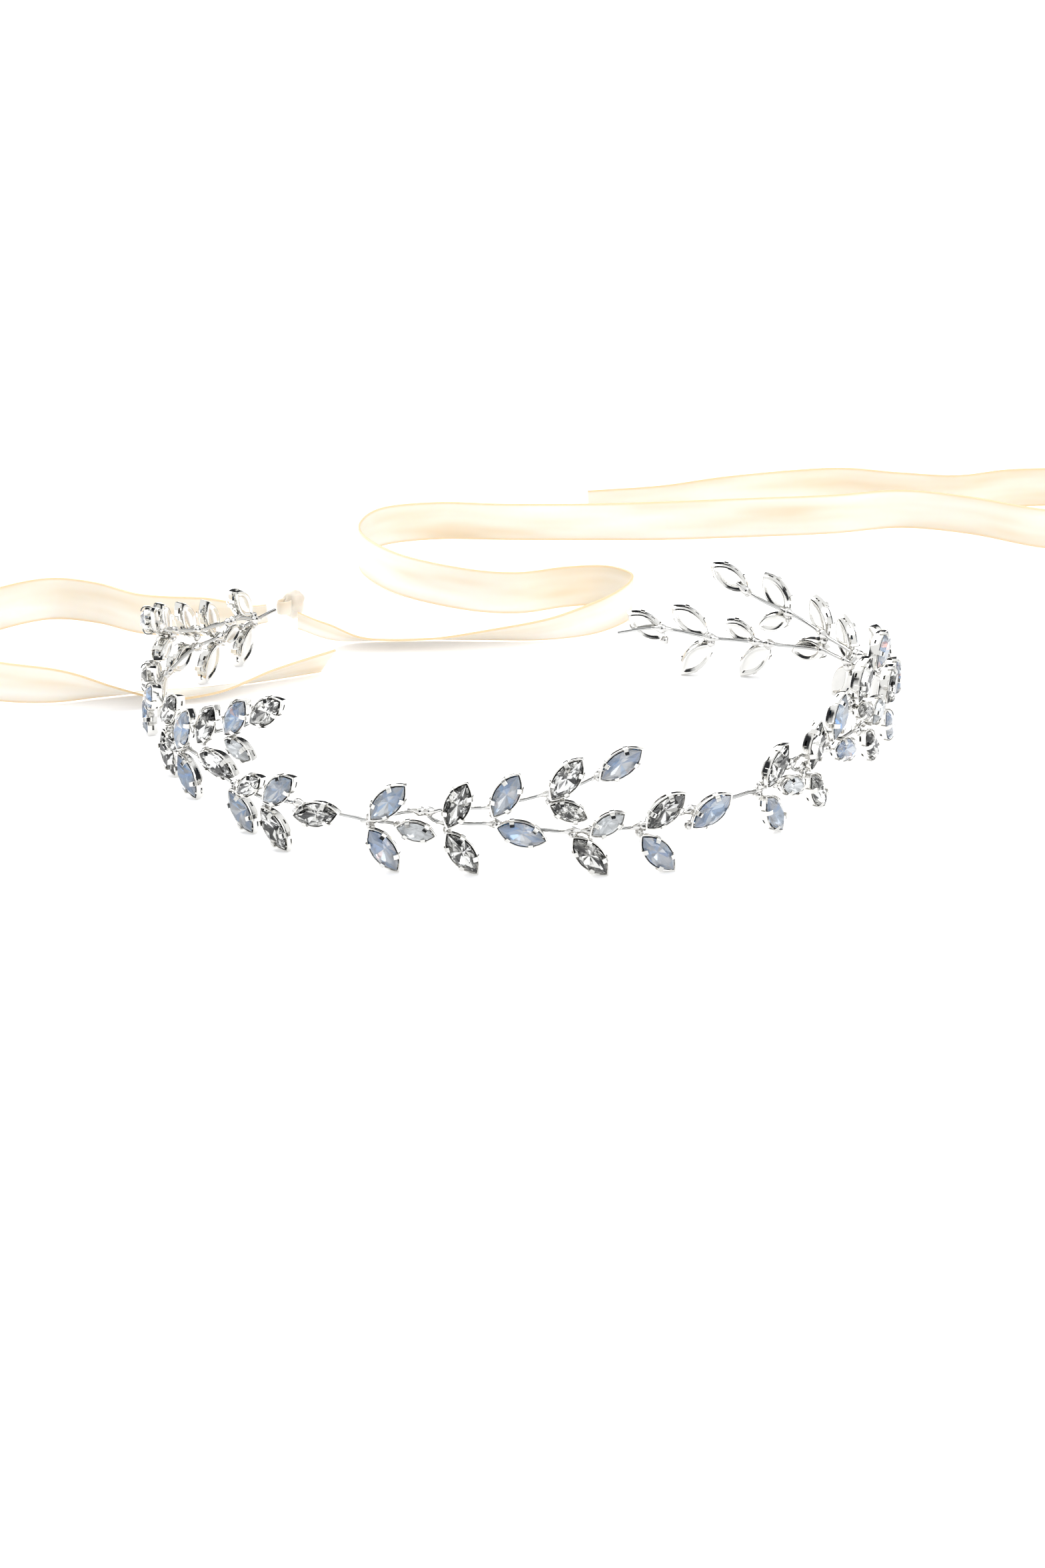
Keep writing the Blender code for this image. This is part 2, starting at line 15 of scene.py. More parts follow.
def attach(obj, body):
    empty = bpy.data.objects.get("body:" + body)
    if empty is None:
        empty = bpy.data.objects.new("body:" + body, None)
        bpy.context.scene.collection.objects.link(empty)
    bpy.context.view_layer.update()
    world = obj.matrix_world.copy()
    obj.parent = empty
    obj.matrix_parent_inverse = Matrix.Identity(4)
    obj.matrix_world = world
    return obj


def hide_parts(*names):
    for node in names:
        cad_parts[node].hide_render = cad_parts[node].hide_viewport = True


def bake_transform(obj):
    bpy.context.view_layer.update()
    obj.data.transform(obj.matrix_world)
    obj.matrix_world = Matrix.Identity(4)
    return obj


MM = 0.001

# The middle of the crown's footprint, in the coordinates of the plan tables below.
ORIGIN = (-0.74, 18.95)

# Camera: where it aims, how far off it stands, how many degrees it looks down by, and its lens and sensor.
CAMERA_AIM = (0.74, -18.95, 0)
CAMERA_DISTANCE = 860
CAMERA_RISE = 18.5
CAMERA_LENS = 98.7
SENSOR = 36

# Plan curve of the stem wire.
PLAN = (
    (-52.5, 93.5), (-57, 87), (-65.5, 71), (-73, 56), (-75.8, 38), (-72, 15), (-66.5, -5), (-57, -22.5),
    (-48, -36.5), (-40.5, -45.5), (-29, -49.5), (-12, -51.5), (8, -52.5), (24, -51), (34, -46), (44, -33.5),
    (57, -16.5), (68.5, 4.5), (74, 24), (73.5, 42), (67, 56), (60, 66), (50.5, 71.5), (38, 73), (24, 73.5),
)
CURVE_STEPS = 12
TRAVEL_STEP = 0.6

# Lift of the wire above its usual height, at distances along the plan curve.
LIFT = ((0, 0), (246, 0), (261, 0.6), (275, 2.6), (291, 4.0), (312, 4.0), (328, 1.8), (342, 0), (420, 0))

# Navette cups and crystals, as the frame has them: length and width of the cup, and heights from its back.
LARGE_CUP = (10.5, 5.2)
SMALL_CUP = (8.4, 4.2)
CUP_BACK = 0.15
CUP_WALL = 0.3
STONE_GAP = 0.1
STONE_FLOOR = 0.5
GIRDLE = 2.2
CROWN_RISE = 0.95
POINT_SHARE = 1.7

# Cup: how far each ring of its section lies inside the outline, and its height.
CUP_SECTION = (
    (1.35, 0.3), (1.1, 0.24), (0.85, 0.08), (0.7, 0.0), (0.5, 0.02), (0.33, 0.12), (0.22, 0.35), (0.12, 0.9),
    (0.03, 1.75), (0.0, 2.0), (0.03, 2.08), (0.1, 2.12), (0.2, 2.12), (0.28, 2.06), (0.33, 1.9), (0.42, 0.7),
    (0.6, 0.45), (1.0, 0.42),
)
CUP_SIDES = 18
CUP_SHARP = 32
SLOT_PLACES = (-0.37, 0.0, 0.37)
SLOT_SIZE = (0.95, 0.42)
SLOT_HEIGHT = 0.95

# Claws: their places as shares of the cup's length, their width, the share that they narrow by, and a section
# given as distance in from the rim, height and thickness.
CLAW_PLACES = (-0.235, 0.235)
CLAW_WIDTH = 1.0
CLAW_TAPER = 0.12
CLAW_SECTION = (
    (-0.05, 1.2, 0.2), (-0.07, 1.9, 0.26), (-0.03, 2.35, 0.28), (0.14, 2.68, 0.28), (0.4, 2.92, 0.26),
    (0.7, 3.06, 0.23), (0.98, 3.15, 0.18),
)
CLAW_CHAMFER = 0.06
SLOPE_STEP = 0.1

# Crystal facets: steps on each arc of the girdle, then the rings of the crown and the pavilion, each as a
# share of the girdle's size and a share of the height.
STONE_HALF = 6
CROWN_MIDDLE = (0.84, 0.5)
CROWN_TABLE = (0.6, 1.0)
PAVILION_MIDDLE = (0.62, 0.5)

# Wire and solder.
WIRE_RADIUS = 0.38
WIRE_SIDES = 12
WIRE_STEP = 0.8
WIRE_CURVE_STEPS = 48
NECK_LEAD = 3.0
NECK_HEIGHT = 9.8
NECK_BEND = 2.6
NECK_OVERLAP = 0.8
BEAD_RADIUS = 0.95
BEAD_INSET = 0.35
BEAD_OUT = 0.2
SPINDLE_HALF = 2.4
SPINDLE_RISE = 0.62
SPINDLE_PEAK = 2.4
SPINDLE_FIT = 1.02
SPINDLE_RINGS = 15
SPINDLE_STEP = 1.5
LUMPINESS = 0.12
LUMP_SIZE = 1.1

# Eyes at the two ends, and the knot in the left one.
EYE_HALF = (1.5, 2.2)
EYE_STEPS = 40
KNOT_HALF = (2.6, 2.4, 3.2)
KNOT_REACH = 3.4
KNOT_UV_SHARE = 0.8
LINK_HALF = (1.7, 1.3)
LINK_BAND_HALF = (0.28, 1.5)
LINK_SHIFT = 0.2
LINK_STEPS = 36
LINK_SIDES = 16

# Pleats of the knot on a ball of radius 1, as waves in x, y and z and their depth, and its lumps as waves and
# their depth.
KNOT_PLEATS = (((2.2, 0, 5.5), 0.07), ((0, 9, 3), 0.035))
KNOT_LUMPS = (2.2, 0.05)

# Leaves: place along the spray, height of the base, angle above level, cup. None for a leaf that points down
# far enough to reach the floor.
LEAVES = {
    "cluster_upper": (0.2, 10.0, 46, LARGE_CUP),
    "cluster_lower": (0.0, 8.7, None, LARGE_CUP),
    "cluster_small": (4.9, 9.1, -12, SMALL_CUP),
    "pair_2_upper": (14.9, 8.8, 68, LARGE_CUP),
    "pair_2_lower": (14.6, 8.5, None, LARGE_CUP),
    "pair_3_upper": (23.4, 11.3, 60, LARGE_CUP),
    "pair_3_lower": (23.8, 9.6, -15, LARGE_CUP),
    "pair_4_upper": (34.1, 14.9, 54, LARGE_CUP),
    "pair_4_lower": (33.6, 14.2, -20, SMALL_CUP),
    "branch_tip": (42.9, 18.8, 36, LARGE_CUP),
    "pair_6_lower": (38.1, 7.9, None, LARGE_CUP),
    "pair_6_upper": (41.3, 7.8, 33, SMALL_CUP),
    "pair_7_upper": (51.4, 8.8, 39, LARGE_CUP),
    "pair_7_lower": (50.6, 7.9, None, LARGE_CUP),
    "end": (60.6, 7.8, 36, LARGE_CUP),
}
STEM = (
    (0, 9.5), (5.8, 11.2), (10.1, 11.5), (12.8, 9.7), (18.4, 9.5), (23.5, 9.5), (33.6, 8.4), (37.3, 8.2),
    (46.4, 8.5), (50.8, 8.9), (56.4, 10), (60.0, 10.6), (64.5, 10.9),
)
BRANCH = (
    (9.6, 11.4), (13.6, 12.0), (19.6, 12.6), (22.6, 12.9), (28.1, 14.2), (33.4, 15.7), (39, 17.3),
    (42.8, 19.2), (45.4, 21.0),
)
BRANCH_LEAVES = ("pair_3_upper", "pair_3_lower", "pair_4_upper", "pair_4_lower", "branch_tip")
STUB = ((0.4, 9.4), (3.2, 9.2), (6.4, 9.0))

# Solder spindles: place along the wire, on the stem or on the branch.
STEM_SOLDER = (0.6, 9.6, 15.0, 23.8, 38.2, 41.4, 51.0, 61.5)
BRANCH_SOLDER = (11.2, 23.6, 34.0, 43.6)

# Crystals by colour: the frame's node, and the leaves whose crystals it holds.
CLEAR = "clear_crystal"
OPAL = "opal_crystal"
CRYSTALS = {
    "cluster_crystals": (("cluster_upper", "cluster_lower", "cluster_small"), OPAL),
    "pair_2_crystals": (("pair_2_upper", "pair_2_lower"), CLEAR),
    "pair_3_crystals": (("pair_3_upper", "pair_3_lower"), OPAL),
    "pair_4_crystals": (("pair_4_upper", "pair_4_lower"), CLEAR),
    "branch_tip_crystal": (("branch_tip",), OPAL),
    "pair_6_lower_crystal": (("pair_6_lower",), CLEAR),
    "pair_6_upper_crystal": (("pair_6_upper",), OPAL),
    "pair_7_upper_crystal": (("pair_7_upper",), CLEAR),
    "pair_7_lower_crystal": (("pair_7_lower",), OPAL),
    "end_crystal": (("end",), OPAL),
}
SWAPPED = {CLEAR: OPAL, OPAL: CLEAR}
SPLIT_CLUSTER = {
    "cluster_upper_crystal": (("cluster_upper",), CLEAR),
    "cluster_lower_crystals": (("cluster_lower", "cluster_small"), OPAL),
}

# How a spray's branch differs from the usual one: its length as a share, and how much higher its end is bent.
USUAL_BRANCH = (1.0, 0.0)
LONG_BRANCH = (1.12, 5.0)

# Sprays: name, place of the cluster along the plan curve, colours swapped, branch, and leaves that differ.
# Leaves face straight out of the crown but for those turned about the upright, towards the way along.
SPRAYS = (
    ("back_left", 10.3, False, USUAL_BRANCH, {}),
    ("front_left", 89.5, True, LONG_BRANCH, {"end": (61.6, 9.3, 10, LARGE_CUP)}),
    ("front", 166.1, False, USUAL_BRANCH, {}),
    ("front_right", 248.3, False, USUAL_BRANCH, {}),
    ("back_right", 328.2, True, USUAL_BRANCH, {}),
)
TURNED_SPRAYS = {"front_left": 18}
TURNED_LEAVES = {("front_left", "end"): 0, ("front", "end"): -22}
SPLIT_SPRAY = "front_right"
LAST_STEM = 71.0

# Ribbon: its section from one edge to the middle as shares of the half width and half thickness, and routes
# given as plan place, lean from upright in degrees and lift off the floor. It is gathered near the knot.
RIBBON_WIDTH = 9.5
RIBBON_THICK = 0.5
RIBBON_REST = 0.15
RIBBON_STEPS = 12
GATHERED = 0.45
GATHER_LENGTH = 16
RIBBON_SECTION = ((1, 0.6), (0.985, 1), (0.93, 1), (0.9, 0.7), (0.45, 0.7), (0, 0.7))
RIGHT_TAIL = (
    (-49.5, 93.0, 14, 2.0), (-44, 93.5, 40, 0.6), (-36, 95, 70, 0), (-21, 96, 74, 0), (-8, 96, 62, 0),
    (5, 97, 45, 0), (16, 103, 22, 0), (23, 113, 8, 0), (24.5, 122, 0, 0), (19, 128, 0, 0), (10, 127, 0, 0),
    (-1, 122, 4, 0), (-13, 125, 8, 0), (-28, 137, 4, 0), (-37, 154, 0, 0), (-38, 168, 0, 0),
    (-33, 180, 2, 0), (-20, 185, 6, 0), (-4, 184, 10, 0), (19, 184, 8, 0), (35, 185, 0, 0),
    (56, 188, -6, 0), (75, 191, -4, 0), (92, 196, 0, 0), (108, 190, 4, 0), (124, 178, 0, 0),
    (137, 176, 0, 0), (145, 187, 0, 0), (145, 204, 0, 0), (136, 216, 0, 0), (121, 216, 4, 0),
    (107, 210, 6, 0), (93, 213, 2, 0), (77, 218, -4, 0), (52, 210, 0, 0), (34, 200, 6, 0), (16, 195, 10, 0),
)
LEFT_TAIL = (
    (-56.5, 98.5, -6, 2.0), (-62, 101, -8, 0.5), (-73, 103, -10, 0), (-85, 105, -6, 0), (-96, 114, 0, 0),
    (-107, 117, 6, 0), (-118, 108, 8, 0), (-127, 93, 0, 0), (-130, 78, 0, 0), (-124, 62, 0, 0),
    (-111, 54, 10, 0), (-99, 52, 25, 0), (-88, 54, 60, 0), (-77, 57, 84, 0), (-66, 59.5, 80, 0),
    (-55, 65, 60, 0), (-42, 73, 46, 0),
)

# Textures: noise in waves per metre, and depths of bumps.
PLATE_TONE_SCALE = 260
PLATE_DULL_SHARE = 0.93
PLATE_BUMP = 0.06
CLOUD_SCALE = 420
CLOUD_SHARE = 0.35
SMALL_OPAL_TONES = (0.74, 0.9)
TONE_SEED = 7
THREAD_SCALE = (260, 6500, 1)
SHEEN_AND_SHADE_SCALE = (22, 160, 1)
THREAD_BUMP = 0.04
EDGE_SHADE_BAND = (0.86, 0.97)

# Stage. Lights are name, place and size in metres, power in watts, and colour.
FLOOR_HALF = 4000
FLOOR_DROP = 0.1
FLOOR_GLOW = 0.24
ROOM_STRENGTH = 1.15
LIGHTS = (
    ("key", (-0.4, 0.6, 0.8), 1.0, 9.0, (1.0, 0.995, 0.98)),
    ("fill", (0.6, -0.35, 0.7), 0.6, 3.0, (0.97, 0.985, 1.0)),
)

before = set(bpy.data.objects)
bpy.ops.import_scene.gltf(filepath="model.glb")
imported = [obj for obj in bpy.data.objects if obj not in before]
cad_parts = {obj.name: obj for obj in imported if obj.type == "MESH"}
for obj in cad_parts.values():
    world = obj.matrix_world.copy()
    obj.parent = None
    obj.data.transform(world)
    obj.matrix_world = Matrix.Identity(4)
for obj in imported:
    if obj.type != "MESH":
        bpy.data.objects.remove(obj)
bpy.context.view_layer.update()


def spline_points(points, steps):
    """Points of any size on a smooth curve through the given ones."""
    before = [2 * a - b for a, b in zip(points[0], points[1])]
    after = [2 * a - b for a, b in zip(points[-1], points[-2])]
    knots = [before, *points, after]
    made = []
    for i in range(1, len(knots) - 2):
        for k in range(steps):
            t = k / steps
            made.append([
                b + 0.5 * ((c - a) * t + (2 * a - 5 * b + 4 * c - d) * t**2 + (3 * (b - c) - a + d) * t**3)
                for a, b, c, d in zip(*knots[i - 1:i + 3])
            ])
    made.append(list(points[-1]))
    return made


def read_table(table, place):
    """The value at a place in a table of (place, value), straight between its rows."""
    for (before, low), (after, high) in zip(table, table[1:]):
        if place <= after:
            break
    return low + (high - low) * (place - before) / (after - before)


class PlanCurve:
    """The stem wire's plan curve, read by distance along it."""

    def __init__(self, points):
        self.points = [Vector((x - ORIGIN[0], y - ORIGIN[1])) for x, y in spline_points(points, CURVE_STEPS)]
        self.along = [0.0]
        for a, b in zip(self.points, self.points[1:]):
            self.along.append(self.along[-1] + (b - a).length)

    def point(self, along):
        last = len(self.along) - 2
        i = 0
        while i < last and self.along[i + 1] < along:
            i += 1
        share = (along - self.along[i]) / (self.along[i + 1] - self.along[i])
        return self.points[i].lerp(self.points[i + 1], share)

    def frame(self, along):
        """(point, direction of travel, direction out of the crown), in plan."""
        travel = (self.point(along + TRAVEL_STEP) - self.point(along - TRAVEL_STEP)).normalized()
        return self.point(along), travel, Vector((travel.y, -travel.x))

    def place(self, along, height, out=0.0):
        point, _, outward = self.frame(along)
        return Vector((*(point + outward * out), height + read_table(LIFT, along)))


CURVE = PlanCurve(PLAN)
LEFT_EYE = EYE_HALF[0]
RIGHT_EYE = SPRAYS[-1][1] + LAST_STEM + EYE_HALF[0]


class Leaf:
    """One cup and its crystal: x runs from the base to the tip, z out of the crown from the cup's back."""

    def __init__(self, start, along, height, angle, cup, turn=0):
        self.cup = cup
        self.length, self.width = cup
        rise = math.radians(angle) if angle is not None else -math.asin(height / self.length)
        half = self.length * math.cos(rise) / 2
        point, travel, outward = CURVE.frame(start + along + half)
        if turn:
            swing = Matrix.Rotation(math.radians(turn), 2)
            travel = swing @ travel
            outward = swing @ outward
            point = CURVE.point(start + along) + travel * half
        reach = Vector((*(travel * math.cos(rise)), math.sin(rise)))
        out = Vector((*outward, 0))
        base = height + read_table(LIFT, start + along)
        centre = Vector((*(point + outward * CUP_BACK), base + self.length * math.sin(rise) / 2))
        axes = Matrix((reach, out.cross(reach), out)).transposed().to_4x4()
        self.matrix = Matrix.Translation(centre) @ axes

    def at_base(self, inset, height):
        return self.matrix @ Vector((inset - self.length / 2, 0, height))


def on_branch(branch, along, height):
    """A point of the usual branch, moved onto the branch of one spray."""
    stretch, rise = branch
    start, end = BRANCH[0][0], BRANCH[-1][0]
    return start + stretch * (along - start), height + rise * (along - start) / (end - start)


def make_leaf(spray, name):
    spray_name, start, _, branch, changes = spray
    turn = TURNED_LEAVES.get((spray_name, name), TURNED_SPRAYS.get(spray_name, 0))
    along, height, angle, cup = changes.get(name, LEAVES[name])
    if name in BRANCH_LEAVES:
        along, height = on_branch(branch, along, height)
    return Leaf(start, along, height, angle, cup, turn)


def navette(length, width, half):
    """A pointed oval with this many steps on each of its two arcs, counter-clockwise from the tip."""
    radius = (length**2 + width**2) / (4 * width)
    angle = math.asin(length / 2 / radius)
    upper = []
    for i in range(half):
        turn = angle - 2 * angle * i / half
        upper.append((radius * math.sin(turn), radius * math.cos(turn) - radius + width / 2))
    return upper + [(-x, -y) for x, y in upper]


def half_width(length, width, x):
    """Half the width of the navette at x."""
    radius = (length**2 + width**2) / (4 * width)
    return math.sqrt(radius**2 - x**2) - radius + width / 2


# Materials

def add_node(tree, kind, inputs=None, **settings):
    """A shader node with its settings, and its inputs as values or links."""
    made = tree.nodes.new("ShaderNode" + kind)
    for key, value in settings.items():
        setattr(made, key, value)
    for key, value in (inputs or {}).items():
        if isinstance(value, bpy.types.NodeSocket):
            tree.links.new(value, made.inputs[key])
        else:
            made.inputs[key].default_value = value
    return made


def add_ramp(tree, factor, stops):
    """A colour ramp through (place, colour) stops."""
    made = add_node(tree, "ValToRGB", {"Fac": factor})
    ramp = made.color_ramp
    while len(ramp.elements) < len(stops):
        ramp.elements.new(1.0)
    for element, (place, colour) in zip(ramp.elements, stops):
        element.position = place
        element.color = (*colour, 1)
    return made.outputs["Color"]


def add_material(name, settings):
    """A material whose Principled BSDF has these values, with its tree and shader."""
    made = bpy.data.materials.new(name)
    made.use_nodes = True
    tree = made.node_tree
    shader = tree.nodes["Principled BSDF"]
    for key, value in settings.items():
        shader.inputs[key].default_value = value
    return made, tree, shader


def grey(value):
    return (value, value, value)


def make_silver(name, colour, rough, lumps, lump_size):
    """Bright plating: its roughness varies softly, and it has shallow lumps of a size in millimetres."""
    made, tree, shader = add_material(name, {"Metallic": 1.0, "IOR": 1.5})
    where = add_node(tree, "TexCoord").outputs["Object"]
    wide = add_node(tree, "TexNoise", {"Vector": where, "Scale": PLATE_TONE_SCALE, "Detail": 3})
    fine = add_node(tree, "TexNoise", {"Vector": where, "Scale": 1 / (lump_size * MM), "Detail": 2})
    dull = [c * PLATE_DULL_SHARE for c in colour]
    tone = add_ramp(tree, wide.outputs["Fac"], ((0.3, dull), (0.7, colour)))
    shine = add_ramp(tree, fine.outputs["Fac"], ((0.3, grey(rough[0])), (0.75, grey(rough[1]))))
    bump = add_node(tree, "Bump", {
        "Height": fine.outputs["Fac"], "Strength": lumps, "Distance": PLATE_BUMP * MM,
    })
    tree.links.new(tone, shader.inputs["Base Color"])
    tree.links.new(shine, shader.inputs["Roughness"])
    tree.links.new(bump.outputs["Normal"], shader.inputs["Normal"])
    return made


def make_faceted(name, stops, settings):
    """The crown or the foil of a crystal, tinted facet by facet from a ramp of its own tints and painted light
    and dark reflections, with faint clouds inside each facet.
    """
    made, tree, shader = add_material(name, settings)
    facet = add_node(tree, "Attribute", attribute_name="facet").outputs["Fac"]
    where = add_node(tree, "TexCoord").outputs["Object"]
    cloud = add_node(tree, "TexNoise", {"Vector": where, "Scale": CLOUD_SCALE, "Detail": 4}).outputs["Fac"]
    mixed = add_node(tree, "Math", {0: cloud, 1: 0.5}, operation="SUBTRACT").outputs[0]
    shifted = add_node(
        tree, "Math", {0: mixed, 1: CLOUD_SHARE, 2: facet}, operation="MULTIPLY_ADD",
    ).outputs[0]
    tree.links.new(add_ramp(tree, shifted, stops), shader.inputs["Base Color"])
    return made


def make_finishes():
    clear_stops = ((0.0, (0.8, 0.8, 0.79)), (0.3, (0.94, 0.94, 0.925)), (0.8, (0.99, 0.99, 0.98)))
    # Clear foil: a grey tint, with facets painted from near black to white as painted dark and bright
    # reflections.
    clear_foil_painted_reflections = (
        (0.0, grey(0.02)), (0.14, grey(0.05)), (0.26, (0.42, 0.415, 0.4)), (0.45, (0.86, 0.855, 0.83)),
        (0.7, grey(0.99)),
    )
    opal_stops = (
        (0.0, (0.56, 0.68, 0.82)), (0.25, (0.7, 0.75, 0.8)), (0.5, (0.77, 0.78, 0.8)),
        (0.75, (0.87, 0.89, 0.9)), (1.0, (0.96, 0.97, 0.97)),
    )
    # Opal foil: its own blue and grey, with facets painted near white and a painted reddish flash at the top of
    # the ramp, as reflections.
    opal_foil_painted_reflections = (
        (0.0, (0.1, 0.26, 0.56)), (0.2, (0.22, 0.42, 0.7)), (0.34, (0.36, 0.42, 0.5)),
        (0.6, (0.6, 0.6, 0.61)), (0.8, (0.84, 0.86, 0.87)), (0.93, (0.99, 0.99, 1.0)), (0.97, (0.96, 0.5, 0.42)),
    )
    return {
        # Painted shade and painted reflection: the plating is darker than bright silver, and its slight warm
        # tint is a painted reflection of the cream ribbon.
        "silver": make_silver("silver_plate", (0.745, 0.735, 0.705), (0.05, 0.14), 0.25, 0.8),
        # Painted shade: the wire is the same silver made darker still, for the dark reflections along the thin
        # wire.
        "wire": make_silver("silver_wire_painted_darker", (0.5, 0.5, 0.49), (0.05, 0.14), 0.25, 0.8),
        "solder": make_silver("silver_solder", (0.68, 0.67, 0.65), (0.08, 0.28), 0.6, 0.45),
        (CLEAR, "crown"): make_faceted("clear_crystal_crown", clear_stops, {
            "Transmission Weight": 1.0, "Roughness": 0.0, "IOR": 1.56,
        }),
        (CLEAR, "foil"): make_faceted("clear_crystal_foil_painted_reflections", clear_foil_painted_reflections, {"Metallic": 1.0, "Roughness": 0.1}),
        (OPAL, "crown"): make_faceted("opal_crystal_crown", opal_stops, {
            "Transmission Weight": 0.8, "Roughness": 0.05, "IOR": 1.5, "Coat Weight": 0.5,
            "Coat Roughness": 0.02,
        }),
        (OPAL, "foil"): make_faceted("opal_crystal_foil_painted_reflections", opal_foil_painted_reflections, {"Metallic": 0.7, "Roughness": 0.15}),
        "satin": make_satin(),
    }


def make_satin():
    """Double-faced satin: fine warp threads along the ribbon, a sheen across them, slow bands of painted sheen
    and shade in its colour, and painted shade as a warmer, darker band along both edges.
    """
    made, tree, shader = add_material("satin_ribbon", {
        "IOR": 1.46, "Sheen Weight": 0.35, "Sheen Roughness": 0.35, "Sheen Tint": (1, 0.95, 0.85, 1),
        "Subsurface Weight": 0.25, "Subsurface Radius": (1.0, 0.6, 0.35), "Subsurface Scale": 0.002,
        "Specular IOR Level": 0.6, "Anisotropic": 0.5,
    })
    where = add_node(tree, "UVMap", uv_map="ribbon").outputs["UV"]
    along = add_node(tree, "Mapping", {"Vector": where, "Scale": THREAD_SCALE}).outputs["Vector"]
    slow = add_node(tree, "Mapping", {"Vector": where, "Scale": SHEEN_AND_SHADE_SCALE}).outputs["Vector"]
    threads = add_node(tree, "TexNoise", {"Vector": along, "Scale": 1, "Detail": 3}).outputs["Fac"]
    shade = add_node(tree, "TexNoise", {"Vector": slow, "Scale": 1, "Detail": 2}).outputs["Fac"]
    across = add_node(tree, "SeparateXYZ", {"Vector": where}).outputs["Y"]
    edge = add_node(tree, "Math", {0: across}, operation="ABSOLUTE").outputs[0]
    share = add_node(tree, "Math", {0: edge, 1: 2 / (RIBBON_WIDTH * MM)}, operation="MULTIPLY").outputs[0]
    # Painted sheen and shade: slow noise moves the colour between a darker tan and a light cream.
    body = add_ramp(tree, shade, (
        (0.28, (0.69, 0.58, 0.44)), (0.48, (0.77, 0.71, 0.62)), (0.72, (0.84, 0.81, 0.76)),
    ))
    # Painted shade: the colour turns a warmer, darker orange in a band along both edges.
    rim = add_ramp(tree, share, ((EDGE_SHADE_BAND[0], grey(0)), (EDGE_SHADE_BAND[1], grey(1))))
    mixed = add_node(tree, "MixRGB", {"Fac": rim, "Color1": body, "Color2": (0.78, 0.58, 0.36, 1)})
    shine = add_ramp(tree, threads, ((0.3, grey(0.28)), (0.7, grey(0.44))))
    bump = add_node(tree, "Bump", {"Height": threads, "Strength": 0.35, "Distance": THREAD_BUMP * MM})
    tree.links.new(mixed.outputs["Color"], shader.inputs["Base Color"])
    tree.links.new(shine, shader.inputs["Roughness"])
    tree.links.new(bump.outputs["Normal"], shader.inputs["Normal"])
    return made


# Meshes

def circle_turns(count):
    return [2 * math.pi * k / count for k in range(count)]


def add_loft(bm, rings, closed=False):
    """The side faces of a skin through rings of equally many points, capped unless the rings meet again."""
    loops = [[bm.verts.new(Vector(point) * MM) for point in ring] for ring in rings]
    count = len(loops[0])
    pairs = list(zip(loops, loops[1:]))
    if closed:
        pairs.append((loops[-1], loops[0]))
    made = []
    for low, high in pairs:
        for i in range(count):
            j = (i + 1) % count
            made.append(bm.faces.new((low[i], low[j], high[j], high[i])))
    if not closed:
        bm.faces.new(loops[0][::-1])
        bm.faces.new(loops[-1])
    return made


def add_piece(name, bm, finishes, body=None, sharp=35):
    """An object from the mesh, shaded smooth but for its sharp edges, that rides on a body."""
    bmesh.ops.recalc_face_normals(bm, faces=bm.faces)
    mesh = bpy.data.meshes.new(name)
    bm.to_mesh(mesh)
    bm.free()
    for finish in finishes:
        mesh.materials.append(finish)
    if sharp:
        mesh.shade_smooth()
        mesh.set_sharp_from_angle(angle=math.radians(sharp))
    return place_mesh(name, mesh, body)


def place_mesh(name, mesh, body, matrix=None):
    """An object of the mesh. The matrix has its place in millimetres."""
    made = bpy.data.objects.new(name, mesh)
    bpy.context.scene.collection.objects.link(made)
    if matrix is not None:
        made.matrix_world = Matrix.Translation(matrix.translation * MM) @ matrix.to_3x3().to_4x4()
    if body:
        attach(made, body)
    return made


def ring_frames(points, closed=False):
    """(point, side, lift) along a path, each turned as little as possible from the one before."""
    last = len(points) - 1
    made = []
    side = None
    for i, point in enumerate(points):
        after = points[(i + 1) % len(points)] if closed else points[min(i + 1, last)]
        before = points[i - 1] if closed else points[max(i - 1, 0)]
        travel = (after - before).normalized()
        if side is None:
            side = travel.cross(Vector((0, 0, 1)))
        side = (side - travel * side.dot(travel)).normalized()
        made.append((point, side, side.cross(travel)))
    return made


def add_tube(bm, points, radius, closed=False):
    """A round tube through points. The radius is a number, or one number for each point."""
    rings = []
    for i, (point, side, lift) in enumerate(ring_frames(points, closed)):
        size = radius if isinstance(radius, (int, float)) else radius[i]
        rings.append([
            point + (side * math.cos(t) + lift * math.sin(t)) * size for t in circle_turns(WIRE_SIDES)
        ])
    add_loft(bm, rings, closed)


def wire_points(start, table):
    """Even, close points on the smooth wire through a table of (along, height)."""
    dense = spline_points(table, WIRE_CURVE_STEPS)
    kept = [dense[0]]
    for here in dense[1:-1]:
        if math.dist(here, kept[-1]) >= WIRE_STEP:
            kept.append(here)
    if math.dist(kept[-1], dense[-1]) < WIRE_STEP / 2:
        kept.pop()
    kept.append(dense[-1])
    return [CURVE.place(start + along, height) for along, height in kept]


def neck_place(index):
    """Distance along the plan curve of the neck that leads into a spray."""
    return SPRAYS[index][1] - NECK_LEAD


def lumpy(bm, amount, seed):
    """Pushes the vertices in and out a little, in soft lumps."""
    for vert in bm.verts:
        there = vert.co / (LUMP_SIZE * MM) + Vector((seed, seed, seed))
        vert.co += noise.noise_vector(there) * amount * MM


# Cups, claws and crystals

